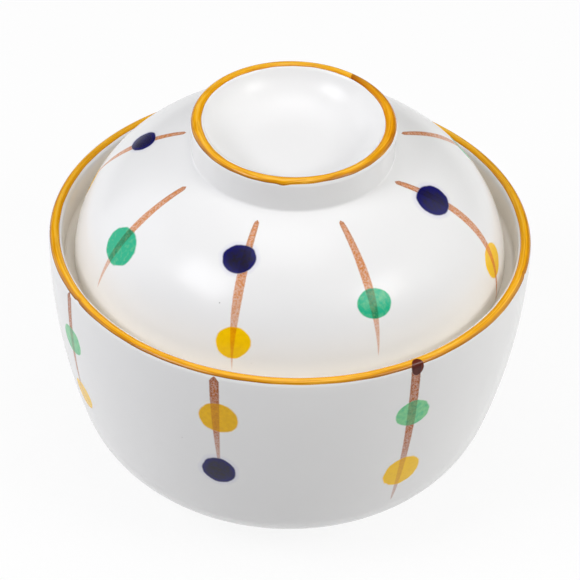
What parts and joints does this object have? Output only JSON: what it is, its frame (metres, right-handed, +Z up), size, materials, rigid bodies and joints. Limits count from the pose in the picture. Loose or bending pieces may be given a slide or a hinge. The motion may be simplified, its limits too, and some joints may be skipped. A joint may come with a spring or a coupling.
{
  "type": "lidded soup bowl",
  "caption": "Deep round glazed ceramic soup bowl on a low foot ring, with a domed lid that rests on a ledge inside the rim and lifts off by a ring-shaped grip.",
  "frame": {"origin": "centre of the foot ring, on the surface that the bowl stands on", "axes": "+Z up along the common axis of bowl and lid, -Y towards the viewer of the picture"},
  "size_m": [0.12, 0.12, 0.1042],
  "materials": {
    "white_glaze": "gloss clear glaze on white porcelain, with painted strokes and dabs under it",
    "amber_glaze": "gloss amber glaze line brushed over the lip"
  },
  "bodies": {
    "bowl": {"bowl_body": "white_glaze", "rim_glaze_line": "amber_glaze"},
    "lid": {"lid_body": "white_glaze", "grip_glaze_line": "amber_glaze"}
  },
  "joints": [
    {"name": "lid_lift", "type": "slide", "parent": "bowl", "child": "lid", "axis": [0, 0, 1], "range_m": [0, 0.1]}
  ]
}
